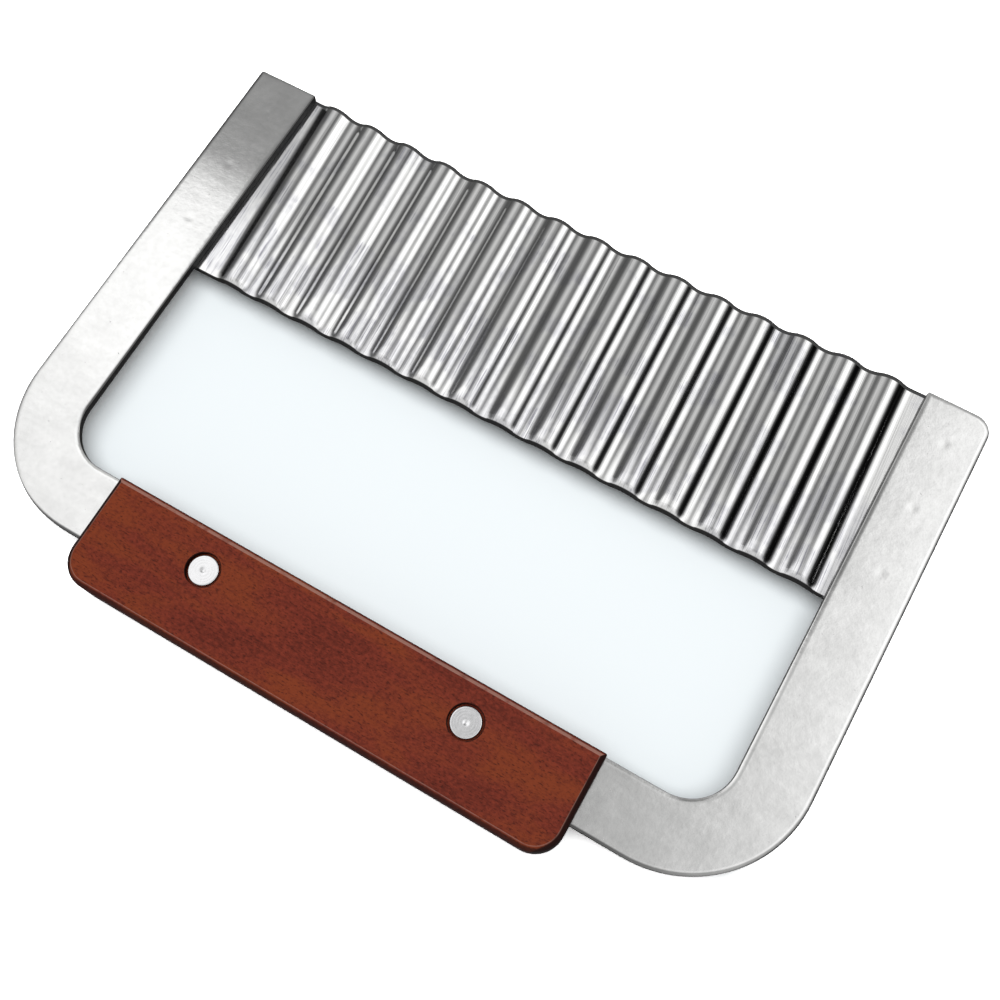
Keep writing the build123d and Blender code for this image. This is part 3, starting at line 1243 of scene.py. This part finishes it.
# %% [markdown]
# ## Light
# One wide oval light hangs overhead, a little towards the cutting edge, and gives soft shadows. Polished
# steel shows what stands round it, so it gets a dome to mirror, drawn as bands across X. From left to
# right they are a dim wall, a broad window, a darker gap above the tool, a second bright window and a dark
# corner, and each fades softly into the next. The left half differs between the near part of the dome,
# over the handle, and the far part, past the cutting edge. Low down the dome is plain: bright beyond the
# handle and mid grey beyond the tips. Only glossy rays see the dome, and they don't see the light, so the
# two can be tuned apart.

# %% Hang the light

light_place = Vector((0, 30, 700)) * MM
light_length = 1200 * MM
light_width = 760 * MM
light_radiance = 2.6

light_area = pi * light_length * light_width / 4
lamp = bpy.data.lights.new("overhead_light", "AREA")
lamp.shape = "ELLIPSE"
lamp.size = light_length
lamp.size_y = light_width
lamp.energy = light_radiance * pi * light_area
overhead = show("overhead_light", lamp)
aim(overhead, light_place, Vector((0, 0, 0)), Vector((0, 1, 0)))
overhead.visible_camera = False
overhead.visible_glossy = False
print(f"overhead light {lamp.energy:.2f} W over {light_area:.2f} square metres")

# %% Bands of the dome

dome_radius = 900 * MM
dome_reach = 110
dome_crease = 180
dome_strength = 1.6

# The bands, as (degrees from overhead towards +X, glow)
far_left_bands = [
    (-110, 0.45), (-100, 0.20), (-90, 0.09), (-70, 0.10), (-58, 0.17), (-48, 0.44), (-38, 0.72),
    (-28, 0.60), (-20, 0.44), (-12, 0.27), (-5, 0.18), (2, 0.22), (8, 0.60), (14, 1.10),
]
near_left_bands = [
    (-110, 0.45), (-100, 0.25), (-90, 0.16), (-74, 0.17), (-62, 0.34), (-54, 0.90), (-44, 1.22),
    (-30, 1.32), (-20, 1.22), (-12, 0.90), (-4, 0.56), (3, 0.52), (9, 0.74), (15, 1.06),
]
right_bands = [
    (24, 1.36), (32, 1.40), (40, 0.92), (48, 0.32), (54, 0.02), (66, 0.00), (84, 0.00), (98, 0.35),
    (110, 0.45),
]

# A slope is Y over the distance from the Y axis. The near part turns into the far part between two slopes,
# and from an angle in degrees on, that boundary drops by so much for each degree
near_to_far = (0.335, 0.42)
boundary_bend = -36
boundary_drop = 0.004

# Slopes over which the handle's side is dimmed, and beyond which the dome is plain
above_handle = (0.0, 0.28)
handle_dimming = 0.2
beyond_tip = (0.75, 1.1)
beyond_tip_glow = 0.42
beyond_handle = (-0.7, -0.2)
beyond_handle_glow = 0.75

# %% Colour the dome


def dome_grey(glow):
    """A colour that glows by the given amount, once the dome's strength is applied."""
    return grey(glow / dome_strength)


def band_ramp(graph, angle, bands):
    """A ramp of glow over an angle in radians, from bands of (degrees, glow)."""
    reach = radians(dome_reach)
    share = (angle + reach) / (2 * reach)
    stops = [((degree + dome_reach) / (2 * dome_reach), dome_grey(glow)) for degree, glow in bands]
    return graph.add("ShaderNodeValToRGB", {"Fac": share}, stops=stops)


def dome_colour(graph, place):
    """Bands over the angle across X, which change between the near and the far part of the dome."""
    x = graph.split(place)
    y, z = x.out("Y"), x.out("Z")
    angle = x.math("ARCTAN2", z)
    slope = y / (x * x + z * z).math("SQRT")
    near = band_ramp(graph, angle, near_left_bands + right_bands)
    far = band_ramp(graph, angle, far_left_bands + right_bands)
    drop_per_radian = degrees(boundary_drop)
    drop = (radians(boundary_bend) - angle).most(0.0) * drop_per_radian
    bands = graph.mix(ramp(graph, slope + drop, *near_to_far), near, far)
    dimming = (1 - ramp(graph, slope, *above_handle)) * handle_dimming
    dimmed = graph.mix(dimming, bands, grey(0.0))
    walled = graph.mix(ramp(graph, slope, *beyond_tip), dimmed, dome_grey(beyond_tip_glow))
    return graph.mix(1 - ramp(graph, slope, *beyond_handle), walled, dome_grey(beyond_handle_glow))


# %% Raise the dome


def make_dome():
    material, graph, place = new_finish("dome_bands")
    graph.tree.nodes.remove(graph.tree.nodes["Principled BSDF"])
    sockets = {"Color": dome_colour(graph, place), "Strength": dome_strength}
    glowing = graph.add("ShaderNodeEmission", sockets)
    plug(graph.tree, graph.tree.nodes["Material Output"].inputs["Surface"], glowing)

    shape = bmesh.new()
    bmesh.ops.create_uvsphere(shape, u_segments=96, v_segments=48, radius=dome_radius)
    below = [corner for corner in shape.verts if corner.co.z < -CLOSE]
    bmesh.ops.delete(shape, geom=below, context="VERTS")
    return close_shape(shape, "studio_dome", (), material, dome_crease)


dome = make_dome()
dome.visible_camera = False
dome.visible_diffuse = False
dome.visible_transmission = False
dome.visible_shadow = False
dome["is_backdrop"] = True

# %% [markdown]
# ## Floor and background
# The tool lies on white paper that runs out of the picture and keeps the tool's soft shadow. Seen by the
# camera its white is lifted to full white, as is the world round it. Inside the tool's window it is lifted
# less and keeps a faint blue grey, a painted shade under the tool. The metal mirrors a darker paper, a
# painted shade as if all the paper lay in the tool's shadow, which gives its edges their dark lines.

# %% Papers and room

floor_half = 3000 * MM
open_paper = grey(2.10)
distant_paper = grey(60.0)
# Painted shade: inside the window the paper's white is lifted less and stays faintly blue grey
shaded_window_paper = (0.84, 0.89, 0.91, 1.0)
lit_paper = grey(0.8)
# Painted shade: the paper that the metal mirrors is dark, as if it lay in the tool's shadow
shaded_mirrored_paper = grey(0.25)
room = grey(0.3)
seen_room = grey(1.0)

# In millimetres: where the window's paper turns into the open paper, from the tool's middle and from the
# window's middle, and where that turns into the distant paper
paper_overlap = 2
window_edge_x = (arm_inner_x / MM - paper_overlap, plate_high.x / MM)
window_middle_y = (window_y + blade_low.y) / 2 / MM
window_edge_y = (26, 40)
distance_range = (250, 1000)

# %% Lay the floor


def seen_directly(graph):
    """1 for rays from the camera or through glass."""
    rays = graph.add("ShaderNodeLightPath")
    return rays.out("Is Camera Ray").most(rays.out("Is Transmission Ray"))


def make_floor():
    material, graph, place = new_finish("white_paper")
    x = graph.split(place)
    y = x.out("Y")
    # Painted shade under the tool, where the window's paper is lifted less
    across = ramp(graph, x.math("ABSOLUTE"), *window_edge_x)
    deep = ramp(graph, (y - window_middle_y).math("ABSOLUTE"), *window_edge_y)
    near_paper = graph.mix(across.most(deep), shaded_window_paper, open_paper)
    distance = (x * x + y * y).math("SQRT")
    seen_paper = graph.mix(ramp(graph, distance, *distance_range), near_paper, distant_paper)
    mirrored = graph.add("ShaderNodeLightPath").out("Is Glossy Ray")
    # Painted shade on the paper that glossy rays see
    paper = graph.mix(mirrored, lit_paper, shaded_mirrored_paper)
    colour = graph.mix(seen_directly(graph), paper, seen_paper)
    dress(material, Base_Color=colour, Roughness=1.0, Specular_IOR_Level=0.0)

    mesh = bpy.data.meshes.new("floor")
    corners = [(-1, -1), (1, -1), (1, 1), (-1, 1)]
    places = [(right * floor_half, far * floor_half, 0) for right, far in corners]
    mesh.from_pydata(places, [], [(0, 1, 2, 3)])
    mesh.materials.append(material)
    return show("floor", mesh)


floor = make_floor()
floor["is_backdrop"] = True

# %% Set the world

world = bpy.data.worlds.new("world")
world.use_nodes = True
bpy.context.scene.world = world
sky = Graph(world.node_tree)
background = world.node_tree.nodes["Background"]
plug(world.node_tree, background.inputs["Color"], sky.mix(seen_directly(sky), room, seen_room))

# %% Measure and finish

bpy.context.scene.view_settings.view_transform = "Standard"
boxes = {"cad": [list(corner) for corner in cad_box], "visual": [list(corner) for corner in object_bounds()]}
print("visual size in mm", [round((high - low) / MM, 1) for low, high in zip(*boxes["visual"])])
